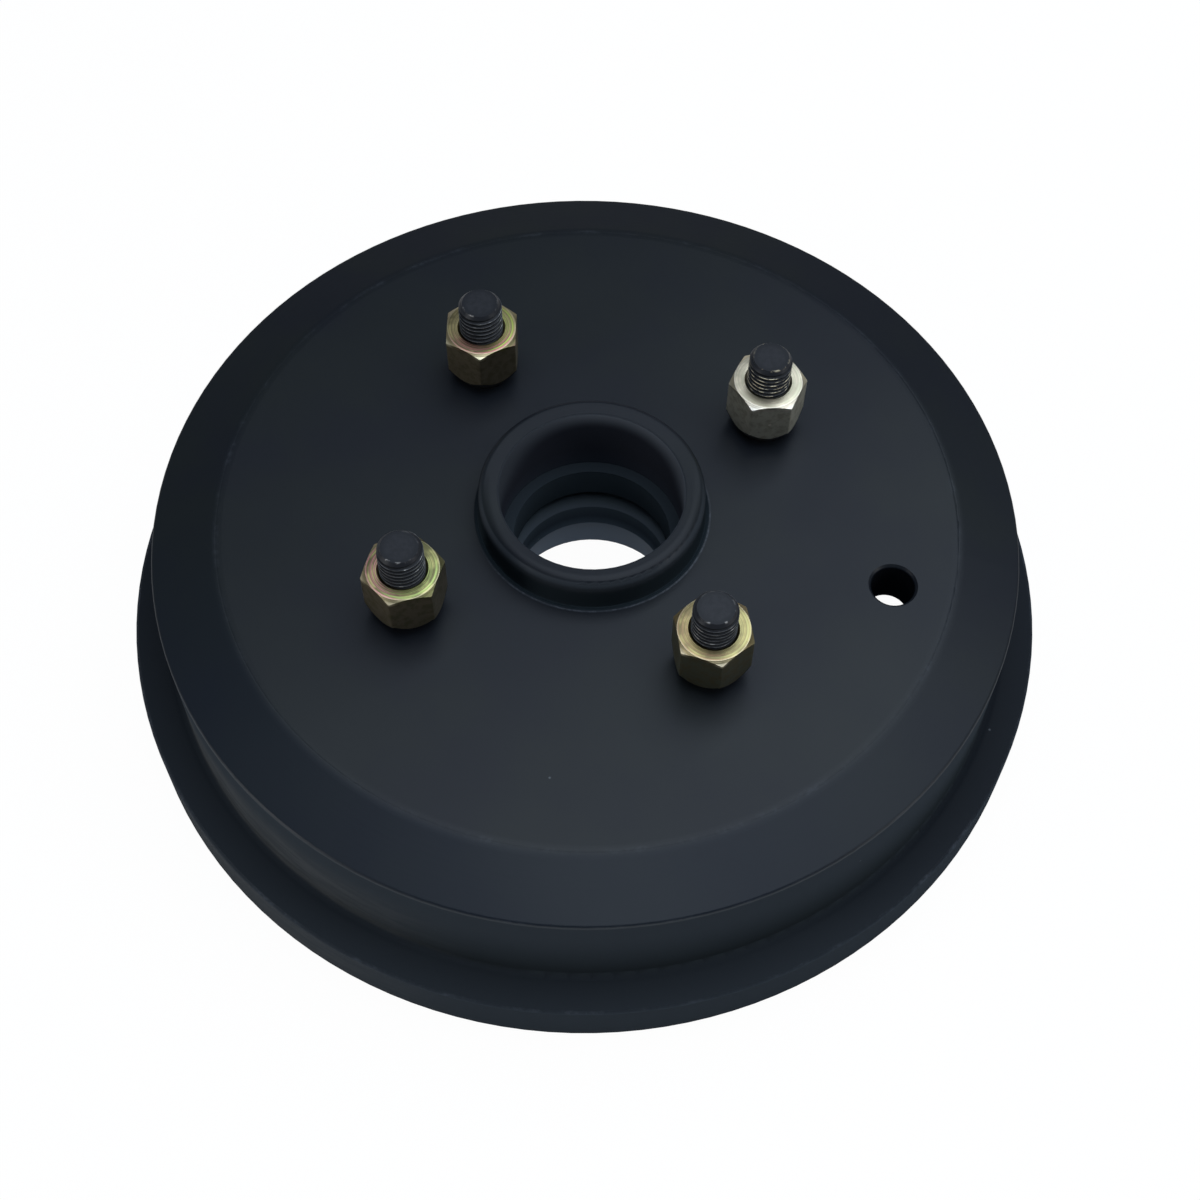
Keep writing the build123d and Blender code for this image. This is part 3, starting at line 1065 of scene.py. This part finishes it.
class Workshop:
    """Edit-mode work on one mesh at a time. Every size is in millimetres."""

    @staticmethod
    def take_up(piece: Piece) -> None:
        """Makes a piece the only selected one, and the active one.

        Args:
            piece: The piece.
        """
        bpy.ops.object.select_all(action="DESELECT")
        piece.select_set(True)
        bpy.context.view_layer.objects.active = piece

    @staticmethod
    def open_up() -> None:
        """Goes into edit mode with all of the active piece selected."""
        bpy.ops.object.mode_set(mode="EDIT")
        bpy.ops.mesh.select_all(action="SELECT")

    @staticmethod
    def pick(piece: Piece, kind: str, wanted: Callable[[Any], bool]) -> None:
        """Selects parts of the active piece and goes into edit mode.

        Args:
            piece: The active piece, in either mode.
            kind: Its collection of parts, "vertices" or "edges".
            wanted: Says whether one of them is to be selected.
        """
        bpy.ops.object.mode_set(mode="EDIT")
        bpy.ops.mesh.select_all(action="DESELECT")
        bpy.ops.object.mode_set(mode="OBJECT")
        for part in getattr(piece.data, kind):
            part.select = wanted(part)
        bpy.ops.object.mode_set(mode="EDIT")

    @staticmethod
    def drawn_line(name: str, points: Sequence[Pair], closed: bool) -> Piece:
        """Draws a line of edges in the XZ plane.

        Args:
            name: The name of the new object.
            points: The radius and height of each point, in order.
            closed: Whether the last point joins the first.

        Returns:
            The object, with its line still open to further work.
        """
        bpy.ops.object.select_all(action="DESELECT")
        bpy.ops.mesh.primitive_plane_add(size=MM, location=(0.0, 0.0, 0.0))
        line = bpy.context.active_object
        line.name = name
        Workshop.open_up()
        bpy.ops.mesh.merge(type="CENTER")
        bpy.ops.transform.translate(value=(points[0][0] * MM, 0.0, points[0][1] * MM))
        for before, after in zip(points, points[1:]):
            step = ((after[0] - before[0]) * MM, 0.0, (after[1] - before[1]) * MM)
            bpy.ops.mesh.extrude_vertices_move(TRANSFORM_OT_translate={"value": step})
        if closed:
            Workshop.pick(line, "vertices", lambda vertex: vertex.index in (0, len(points) - 1))
            bpy.ops.mesh.edge_face_add()
        bpy.ops.object.mode_set(mode="OBJECT")
        return line

    @classmethod
    def turned(cls, name: str, profile: Sequence[Pair], steps: int, closed: bool = False) -> Piece:
        """Turns a profile about the Z axis.

        Args:
            name: The name of the new object.
            profile: The radius and height of each point, in order.
            steps: The number of faces round the axis.
            closed: Whether the profile is a ring that stays clear of the axis.

        Returns:
            A closed solid.
        """
        blank = cls.drawn_line(name, profile, closed)
        cls.take_up(blank)
        cls.open_up()
        bpy.ops.mesh.spin(steps=steps, angle=FULL_TURN, center=(0.0, 0.0, 0.0), axis=(0.0, 0.0, 1.0))
        cls._close_up()
        return blank

    @classmethod
    def threaded_rod(cls, name: str, thread: "Thread", bottom: float, top: float, growth: float) -> Piece:
        """Winds one pitch of the thread into a rod and trims both of its ends level.

        Args:
            name: The name of the new object.
            thread: The thread's sizes.
            bottom: The height of the rod's lower end.
            top: The height of its upper end.
            growth: How much larger than the thread its radius is.

        Returns:
            A closed solid.
        """
        start = bottom - THREAD_LEAD_IN * thread.pitch
        rod = cls.drawn_line(name, thread.one_pitch(start, growth), closed=False)
        cls.take_up(rod)
        winding = rod.modifiers.new("winding", "SCREW")
        winding.axis = "Z"
        winding.angle = FULL_TURN
        winding.screw_offset = thread.pitch * MM
        winding.iterations = math.ceil((top - bottom) / thread.pitch) + THREAD_LEAD_IN + 1
        winding.steps = thread.steps
        winding.render_steps = thread.steps
        winding.use_merge_vertices = True
        winding.merge_threshold = WINDING_MERGE
        bpy.ops.object.modifier_apply(modifier=winding.name)
        for level, facing in ((bottom, -1.0), (top, 1.0)):
            cls.open_up()
            bpy.ops.mesh.bisect(
                plane_co=(0.0, 0.0, level * MM),
                plane_no=(0.0, 0.0, facing),
                use_fill=True,
                clear_outer=True,
            )
        cls._close_up()
        return rod

    @classmethod
    def hexagon_bar(cls, name: str, corner_radius: float, bottom: float, top: float, easing: float) -> Piece:
        """Makes a hexagonal bar with eased long edges.

        Args:
            name: The name of the new object.
            corner_radius: The radius of its sharp corners.
            bottom: The height of its lower end.
            top: The height of its upper end.
            easing: How far each long edge is rounded back.

        Returns:
            A closed solid, with a corner on the X axis.
        """
        bpy.ops.object.select_all(action="DESELECT")
        bpy.ops.mesh.primitive_circle_add(
            vertices=6, radius=corner_radius * MM, fill_type="NGON", location=(0.0, 0.0, bottom * MM)
        )
        bar = bpy.context.active_object
        bar.name = name
        bar.rotation_euler = (0.0, 0.0, math.radians(90))
        bpy.ops.object.transform_apply(location=True, rotation=True, scale=True)
        cls.open_up()
        bpy.ops.mesh.extrude_region_move(TRANSFORM_OT_translate={"value": (0.0, 0.0, (top - bottom) * MM)})
        cls.pick(bar, "edges", lambda edge: cls._rise(bar, edge) > MM)
        bpy.ops.mesh.bevel(offset=easing * MM, segments=3, affect="EDGES")
        cls._close_up()
        return bar

    @classmethod
    def cut(cls, piece: Piece, tool: Piece, kind: Cut) -> None:
        """Cuts a piece with a tool solid, and puts the tool away.

        Args:
            piece: The piece that keeps the result.
            tool: The other solid, which is deleted.
            kind: What is left of the two.
        """
        cls.take_up(piece)
        cutter = piece.modifiers.new("cut", "BOOLEAN")
        cutter.operation = kind.value
        cutter.solver = "EXACT"
        cutter.object = tool
        bpy.ops.object.modifier_apply(modifier=cutter.name)
        bpy.data.meshes.remove(tool.data)

    @classmethod
    def finished(cls, piece: Piece, smooth_angle: float) -> None:
        """Smooths a piece up to an angle and keeps every point's own place in the mesh.

        Args:
            piece: The piece.
            smooth_angle: The largest angle that is smoothed, in degrees.
        """
        cls.take_up(piece)
        bpy.ops.object.shade_smooth_by_angle(angle=math.radians(smooth_angle))
        own = piece.data.attributes.new(OWN_PLACE, "FLOAT_VECTOR", "POINT")
        for entry, vertex in zip(own.data, piece.data.vertices):
            entry.vector = vertex.co / MM

    @staticmethod
    def _rise(piece: Piece, edge: bpy.types.MeshEdge) -> float:
        """How far an edge rises, in metres."""
        low, high = (piece.data.vertices[index].co.z for index in edge.vertices)
        return abs(low - high)

    @staticmethod
    def _close_up() -> None:
        """Merges doubles, points all faces outwards and leaves edit mode."""
        bpy.ops.mesh.select_all(action="SELECT")
        bpy.ops.mesh.remove_doubles(threshold=DOUBLES_MERGE)
        bpy.ops.mesh.normals_make_consistent(inside=False)
        bpy.ops.object.mode_set(mode="OBJECT")


@dataclass
class Thread:
    """A metric thread: its sizes in millimetres and its section over one pitch."""

    crest_radius: float = 5.93
    pitch: float = 1.5
    depth: float = 0.90
    crest_width: float = 0.19
    root_width: float = 0.27
    steps: int = 48

    @property
    def root_radius(self) -> float:
        """The radius at the bottom of the thread."""
        return self.crest_radius - self.depth

    def one_pitch(self, start: float, growth: float) -> list[Pair]:
        """The section from one root to the next.

        Args:
            start: The height of its lower end.
            growth: What is added to every radius.

        Returns:
            The radius and height of each point.
        """
        flank = (self.pitch - self.crest_width - self.root_width) / 2
        root = self.root_radius + growth
        crest = self.crest_radius + growth
        rise = self.root_width / 2
        heights = [0.0, rise, rise + flank, rise + flank + self.crest_width, self.pitch - rise, self.pitch]
        radii = [root, root, crest, crest, root, root]
        return [(radius, start + height) for radius, height in zip(radii, heights)]


@dataclass
class WheelStud:
    """A wheel stud with a round head, a pressed neck and a rolled thread."""

    thread: Thread = field(default_factory=Thread)
    head_bottom: float = 34.8
    seat_height: float = 39.2
    neck_top: float = 50.2
    tip_height: float = 83.1
    head_radius: float = 9.2
    head_easing: float = 0.8
    neck_radius: float = 6.55
    serration_depth: float = 0.2
    serration_count: int = 24
    tip_radius: float = 4.85
    tip_length: float = 1.35
    tip_easing: float = 0.18
    neck_taper: float = 0.5
    core_taper: float = 0.6
    core_run: float = 0.8
    core_reach: float = 2.0
    overlap: float = 1.0
    envelope_gap: float = 0.4
    envelope_gap_run: float = 0.3

    @property
    def crest_radius(self) -> float:
        """The outer radius of the thread."""
        return self.thread.crest_radius

    @property
    def chamfer_height(self) -> float:
        """Where the chamfer of the free end begins."""
        return self.tip_height - self.tip_length

    def model(self) -> Piece:
        """Models one stud on the Z axis at its real height.

        Returns:
            The finished stud.
        """
        root = self.thread.root_radius
        stud = Workshop.turned(
            "stud_blank",
            [
                (0.0, self.head_bottom),
                (self.head_radius - self.head_easing, self.head_bottom),
                (self.head_radius, self.head_bottom + self.head_easing),
                (self.head_radius, self.seat_height),
                (self.neck_radius, self.seat_height),
                (self.neck_radius, self.neck_top - self.neck_taper),
                (root, self.neck_top + self.core_run),
                (root - self.core_taper, self.neck_top + self.core_reach),
                (0.0, self.neck_top + self.core_reach),
            ],
            steps=4 * self.serration_count,
        )
        self._serrate(stud)
        rod_bottom = self.neck_top - 1.5 * self.overlap
        rod = Workshop.threaded_rod("stud_thread", self.thread, rod_bottom, self.tip_height + self.overlap, 0.0)
        envelope = Workshop.turned(
            "stud_envelope",
            [
                (0.0, self.neck_top - self.overlap),
                (self.crest_radius + self.envelope_gap, self.neck_top - self.overlap),
                (self.crest_radius + self.envelope_gap, self.chamfer_height - self.envelope_gap_run),
                (self.crest_radius, self.chamfer_height),
                (self.tip_radius + self.tip_easing, self.tip_height - self.tip_easing * 1.2),
                (self.tip_radius, self.tip_height),
                (0.0, self.tip_height),
            ],
            steps=64,
        )
        Workshop.cut(rod, envelope, Cut.COMMON)
        Workshop.cut(stud, rod, Cut.JOINED)
        Workshop.finished(stud, smooth_angle=28)
        return stud

    def _serrate(self, stud: Piece) -> None:
        """Presses the grooves of the serrations into the neck, two of every four points of its rings.

        Args:
            stud: The turned blank of the stud.
        """
        Workshop.take_up(stud)
        Workshop.pick(stud, "vertices", self._in_groove)
        ratio = 1 - self.serration_depth / self.neck_radius
        bpy.ops.transform.resize(value=(ratio, ratio, 1.0), center_override=(0.0, 0.0, 0.0))
        bpy.ops.object.mode_set(mode="OBJECT")

    def _in_groove(self, vertex: bpy.types.MeshVertex) -> bool:
        """Whether a point of the blank goes down into a groove.

        Args:
            vertex: The point.

        Returns:
            Whether it does.
        """
        radius = math.hypot(vertex.co.x, vertex.co.y) / MM
        turn = math.atan2(vertex.co.y, vertex.co.x) / FULL_TURN
        point = round(turn * 4 * self.serration_count)
        return abs(radius - self.neck_radius) < 0.05 and point % 4 >= 2


@dataclass
class WheelNut:
    """A cone-seated hexagonal wheel nut with a cut thread."""

    thread: Thread = field(default_factory=Thread)
    bottom: float = 54.2
    top_height: float = 73.0
    width: float = 19.0
    nose_radius: float = 7.13
    seat_half_angle: float = 30.0
    top_radius: float = 9.4
    top_chamfer_angle: float = 32.0
    mouth_radius: float = 6.5
    edge_easing: float = 0.22
    long_edge_easing: float = 0.35
    thread_gap: float = 0.05
    blank_excess: float = 1.0
    turning_steps: int = 96

    @property
    def corner_radius(self) -> float:
        """The radius of the hexagon's sharp corners."""
        return self.width / math.sqrt(3)

    @property
    def corner_seat_top(self) -> float:
        """Where the cone seat ends under a sharp corner."""
        return self.bottom + (self.corner_radius - self.nose_radius) / math.tan(math.radians(self.seat_half_angle))

    def envelope(self) -> list[Pair]:
        """The turned section that trims the hexagon.

        Returns:
            The radius and height of each point, in order round the section.
        """
        bore = self.thread.root_radius + self.thread_gap + 0.05
        outside = self.corner_radius + 1.0
        seat_top = self.bottom + (outside - self.nose_radius) / math.tan(math.radians(self.seat_half_angle))
        slope = math.tan(math.radians(self.top_chamfer_angle))
        chamfer_bottom = self.top_height - (outside - self.top_radius) * slope
        ease = self.edge_easing
        return [
            (bore, self.bottom + 0.5),
            (bore + 0.5, self.bottom),
            (self.nose_radius - ease, self.bottom),
            (self.nose_radius + ease * 0.3, self.bottom + ease),
            (outside, seat_top),
            (outside, chamfer_bottom),
            (self.top_radius + ease, self.top_height - ease * slope),
            (self.top_radius + ease * 0.4, self.top_height - ease * slope * 0.25),
            (self.top_radius - ease * 0.3, self.top_height),
            (self.mouth_radius + ease * 0.4, self.top_height),
            (self.mouth_radius - ease * 0.4, self.top_height - ease * 0.5),
            (bore, self.top_height - (self.mouth_radius - bore)),
        ]

    def model(self) -> Piece:
        """Models one nut on the Z axis at its real height.

        Returns:
            The finished nut, with a corner on the X axis.
        """
        bottom, top = self.bottom - self.blank_excess, self.top_height + self.blank_excess
        nut = Workshop.hexagon_bar("nut_blank", self.corner_radius, bottom, top, self.long_edge_easing)
        envelope = Workshop.turned("nut_envelope", self.envelope(), self.turning_steps, closed=True)
        Workshop.cut(nut, envelope, Cut.COMMON)
        tap = Workshop.threaded_rod("nut_tap", self.thread, bottom, top, self.thread_gap)
        Workshop.cut(nut, tap, Cut.TAKEN_AWAY)
        Workshop.finished(nut, smooth_angle=26)
        return nut


@dataclass
class WheelFixings:
    """The four studs on their circle, each with its nut turned as it was left."""

    stud: WheelStud = field(default_factory=WheelStud)
    nut: WheelNut = field(default_factory=WheelNut)
    circle_radius: float = 57.15
    first_azimuth: float = 130.2
    corner_azimuths: tuple[float, ...] = (-83.0, -48.7, -73.1, -98.0)
    wear: tuple[ThreadWear, ...] = (ThreadWear.SLIGHT, ThreadWear.RUBBED, ThreadWear.SLIGHT, ThreadWear.SLIGHT)
    tones: tuple[ZincTone, ...] = (ZincTone.ROSY, ZincTone.PALE, ZincTone.AMBER, ZincTone.GOLDEN)

    def build(self) -> list[Piece]:
        """Models one stud and one nut, and sets a copy of each at every place.

        Returns:
            The eight pieces.
        """
        stud_pattern = self.stud.model()
        nut_pattern = self.nut.model()
        stud_finishes = {wear: wear.value.material(self.stud) for wear in dict.fromkeys(self.wear)}
        nut_finishes = {tone: tone.value.material(self.nut) for tone in dict.fromkeys(self.tones)}
        pieces = []
        for index, (corner, wear, tone) in enumerate(zip(self.corner_azimuths, self.wear, self.tones)):
            place = self._place(index, corner)
            stud_name = f"wheel_stud_{index + 1}"
            nut_name = f"wheel_nut_{index + 1}"
            pieces.append(self._set(stud_pattern, stud_name, place, stud_finishes[wear], "black_phosphated_steel"))
            pieces.append(self._set(nut_pattern, nut_name, place, nut_finishes[tone], "yellow_zinc_steel"))
        for pattern in (stud_pattern, nut_pattern):
            bpy.data.meshes.remove(pattern.data)
        return pieces

    def _place(self, index: int, corner: float) -> Matrix:
        """Where a stud and its nut go, both turned by the azimuth of the nut's corner.

        Args:
            index: The number of the pair, from nought.
            corner: The azimuth of the nut's corner, in degrees.

        Returns:
            The place as a matrix.
        """
        azimuth = math.radians(self.first_azimuth - index * 360 / len(self.corner_azimuths))
        centre = Vector((math.cos(azimuth), math.sin(azimuth), 0.0)) * self.circle_radius * MM
        return Matrix.Translation(centre) @ Matrix.Rotation(math.radians(corner), 4, "Z")

    @staticmethod
    def _set(pattern: Piece, node: str, place: Matrix, finish: Material, slot: str) -> Piece:
        """Sets a copy of a pattern in its place.

        Args:
            pattern: The piece that was modelled once.
            node: The CAD node that the copy stands for.
            place: The copy's place, which goes into its mesh.
            finish: Its material.
            slot: The record's slot of that material; it is not used.

        Returns:
            The new piece.
        """
        mesh = pattern.data.copy()
        mesh.name = f"{node}_mesh"
        mesh.transform(place)
        mesh.materials.clear()
        mesh.materials.append(finish)
        piece = put_in_scene(f"{node}_dressed", mesh)
        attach(piece, "root")
        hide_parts(node)
        log.info("%s: %d faces", piece.name, len(mesh.polygons))
        return piece


@dataclass
class DrumCasting:
    """The casting of drum and hub, which keeps its solid and gets its coat. Sizes in millimetres."""

    node: str = "hub_drum"
    friction_radius: float = 110.0
    wall_radius: float = 118.6
    wall_top: float = 48.8
    lip_radius: float = 129.0
    lip_top: float = 16.1
    face_radius: float = 100.8
    face_height: float = 54.2
    web_underside: float = 39.2
    boss_radius: float = 30.6
    boss_top: float = 64.2
    seat_radius: float = 25.15
    inner_seat_top: float = 15.2
    barrel_end: float = 0.4
    boss_wear_radius: float = 3.6
    boss_front_azimuth: float = -80.0
    face_wear_reach: float = 2.0
    adjuster_hole_radius: float = 6.0
    adjuster_hole_place_radius: float = 84.4
    adjuster_hole_azimuth: float = -8.6

    @property
    def cone_slope(self) -> float:
        """How far the cone falls for each millimetre of radius."""
        return (self.face_height - self.wall_top) / (self.wall_radius - self.face_radius)

    @property
    def adjuster_hole_centre(self) -> Pair:
        """Where the axis of the adjuster hole meets the wheel face."""
        azimuth = math.radians(self.adjuster_hole_azimuth)
        return self.adjuster_hole_place_radius * math.cos(azimuth), self.adjuster_hole_place_radius * math.sin(azimuth)

    def rubbed_edges(self) -> list[EdgeWearAndHighlight]:
        """The turned edges where hands and benches have rubbed the coat.

        Returns:
            The edges, from the rim to the bore.
        """
        return [
            EdgeWearAndHighlight(self.lip_radius - 0.3, self.lip_top - 0.3, width=0.9, strength=0.75),
            EdgeWearAndHighlight(self.lip_radius - 0.3, 0.3, width=0.9, strength=0.9),
            EdgeWearAndHighlight(self.wall_radius - 0.25, self.wall_top - 0.25, width=0.6, strength=0.22),
            EdgeWearAndHighlight(self.face_radius, self.face_height, width=1.3, strength=0.22),
        ]

    def dress(self) -> Piece:
        """Gives the casting its coat.

        Returns:
            The node's object.
        """
        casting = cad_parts[self.node]
        coat = BlackCoatedIron().material(self)
        for slot in casting.material_slots:
            slot.material = coat
        log.info("%s: %d faces", casting.name, len(casting.data.polygons))
        return casting


@dataclass
class PhotoCamera:
    """The photograph's camera, found from the drum's own circles and studs. Lengths in metres."""

    aim: Triple = (0.037526, 0.009314, 0.0)
    elevation: float = 58.6452
    roll: float = 6.7333
    distance: float = 0.563833
    lens: float = 56.3135
    sensor_width: float = 36.0
    shift_x: float = -0.1

    def build(self) -> Piece:
        """Adds the camera and makes it the scene's own.

        Returns:
            The camera object.
        """
        data = bpy.data.cameras.new("photo_camera")
        data.lens = self.lens
        data.sensor_width = self.sensor_width
        data.shift_x = self.shift_x
        data.clip_start = 0.01
        camera = put_in_scene("photo_camera", data)
        tilt = math.radians(self.elevation)
        turn = math.radians(self.roll)
        back = Vector((0.0, -math.cos(tilt), math.sin(tilt)))
        right = Vector((1.0, 0.0, 0.0))
        up = Vector((0.0, math.sin(tilt), math.cos(tilt)))
        across = math.cos(turn) * right + math.sin(turn) * up
        upright = -math.sin(turn) * right + math.cos(turn) * up
        axes = Matrix((across, upright, back)).transposed().to_4x4()
        camera.matrix_world = Matrix.Translation(Vector(self.aim) + back * self.distance) @ axes
        bpy.context.scene.camera = camera
        return camera


@dataclass(frozen=True)
class Softbox:
    """A soft rectangular lamp, in metres and watts, turned about its own axis by an angle in degrees."""

    name: str
    place: Triple
    target: Triple
    width: float
    depth: float
    power: float
    colour: Triple = (1.0, 1.0, 1.0)
    turn: float = 0.0

    def build(self) -> Piece:
        """Adds the lamp, turned towards its target.

        Returns:
            The lamp object.
        """
        data = bpy.data.lights.new(self.name, "AREA")
        data.shape = "RECTANGLE"
        data.size = self.width
        data.size_y = self.depth
        data.energy = self.power
        data.color = self.colour
        lamp = put_in_scene(self.name, data)
        lamp.location = self.place
        aim = (Vector(self.target) - Vector(self.place)).to_track_quat("-Z", "Y").to_matrix()
        lamp.rotation_euler = (aim @ Matrix.Rotation(math.radians(self.turn), 3, "Z")).to_euler()
        return lamp


@dataclass(frozen=True)
class StudioPaper(Finish):
    """White paper that shows as white and still takes the object's shadow."""

    name: str = "studio_paper"
    paper: Triple = (0.82, 0.82, 0.82)
    shown_white: float = 0.97

    def shader(self, bench: NodeBench, piece: None = None) -> Wire:
        """The paper, which glows where a camera, glossy or transmitted ray meets it.

        Args:
            bench: The bench of the material.
            piece: Nothing, because the paper follows no sizes; it is not used.

        Returns:
            The shader's wire.
        """
        camera_ray = bench.node("ShaderNodeLightPath", output="Is Camera Ray")
        outputs = camera_ray.socket.node.outputs
        glossy_ray = Wire(bench, outputs["Is Glossy Ray"])
        through_ray = Wire(bench, outputs["Is Transmission Ray"])
        seen = bench.maths("MINIMUM", camera_ray + glossy_ray + through_ray, 1.0)
        paper = bench.node("ShaderNodeBsdfDiffuse", sockets={"Color": bench.opaque(self.paper)})
        white = bench.node("ShaderNodeEmission", sockets={"Color": (1.0, 1.0, 1.0, 1.0), "Strength": 1.0})
        return bench.node("ShaderNodeMixShader", sockets={0: seen * self.shown_white, 1: paper, 2: white})


@dataclass
class Studio:
    """The sweep of white paper, the soft lamps and the dim room round them. Lengths in metres."""

    sweep_radius: float = 3.0
    sweep_height: float = 0.45
    sweep_bend: float = 0.5
    sweep_steps: int = 8
    room: Triple = (0.09, 0.10, 0.12)
    lamps: tuple[Softbox, ...] = (
        Softbox(
            name="ceiling_softbox",
            place=(0.295, 0.215, 1.15),
            target=(0.295, 0.215, 0.0),
            width=1.60,
            depth=1.15,
            power=19.4,
            colour=(0.82, 0.94, 1.09),
            turn=45.0,
        ),
        Softbox("right_strip", place=(1.05, -0.30, 0.45), target=(0.0, 0.0, 0.05), width=0.25, depth=0.8, power=3.2),
        Softbox("left_strip", place=(-0.95, -0.65, 0.40), target=(0.0, 0.0, 0.05), width=0.25, depth=0.8, power=4.9),
    )

    def build(self) -> None:
        """Adds the paper, the lamps and the room's own light."""
        self._sweep()
        for lamp in self.lamps:
            lamp.build()
        world = bpy.data.worlds.new("studio_room")
        world.use_nodes = True
        bench = NodeBench(world.node_tree)
        room = bench.node("ShaderNodeBackground", sockets={"Color": bench.opaque(self.room), "Strength": 1.0})
        bench.added("ShaderNodeOutputWorld", sockets={"Surface": room})
        bpy.context.scene.world = world
        bpy.context.scene.view_settings.view_transform = "Standard"

    def _sweep(self) -> Piece:
        """Makes a round floor whose rim curves up all round.

        Returns:
            The floor.
        """
        bpy.ops.object.select_all(action="DESELECT")
        bpy.ops.mesh.primitive_circle_add(vertices=96, radius=self.sweep_radius, fill_type="NGON")
        sweep = bpy.context.active_object
        sweep.name = "studio_sweep"
        Workshop.open_up()
        bpy.ops.mesh.region_to_loop()
        before = Vector((self.sweep_radius, 0.0))
        for step in range(1, self.sweep_steps + 1):
            angle = math.radians(90) * step / self.sweep_steps
            out = self.sweep_radius + self.sweep_bend * math.sin(angle)
            rise = self.sweep_height * (1 - math.cos(angle))
            bpy.ops.mesh.extrude_edges_move(TRANSFORM_OT_translate={"value": (0.0, 0.0, rise - before.y)})
            ratio = out / before.x
            bpy.ops.transform.resize(value=(ratio, ratio, 1.0), center_override=(0.0, 0.0, 0.0))
            before = Vector((out, rise))
        bpy.ops.object.mode_set(mode="OBJECT")
        bpy.ops.object.shade_smooth()
        sweep.data.materials.append(StudioPaper().material())
        return sweep


def main() -> None:
    """Builds the camera, the studio and the dressed part, in that order."""
    logging.basicConfig(level=logging.INFO, format="%(name)s: %(message)s")
    PhotoCamera().build()
    Studio().build()
    DrumCasting().dress()
    WheelFixings().build()


if __name__ == "__main__":
    main()
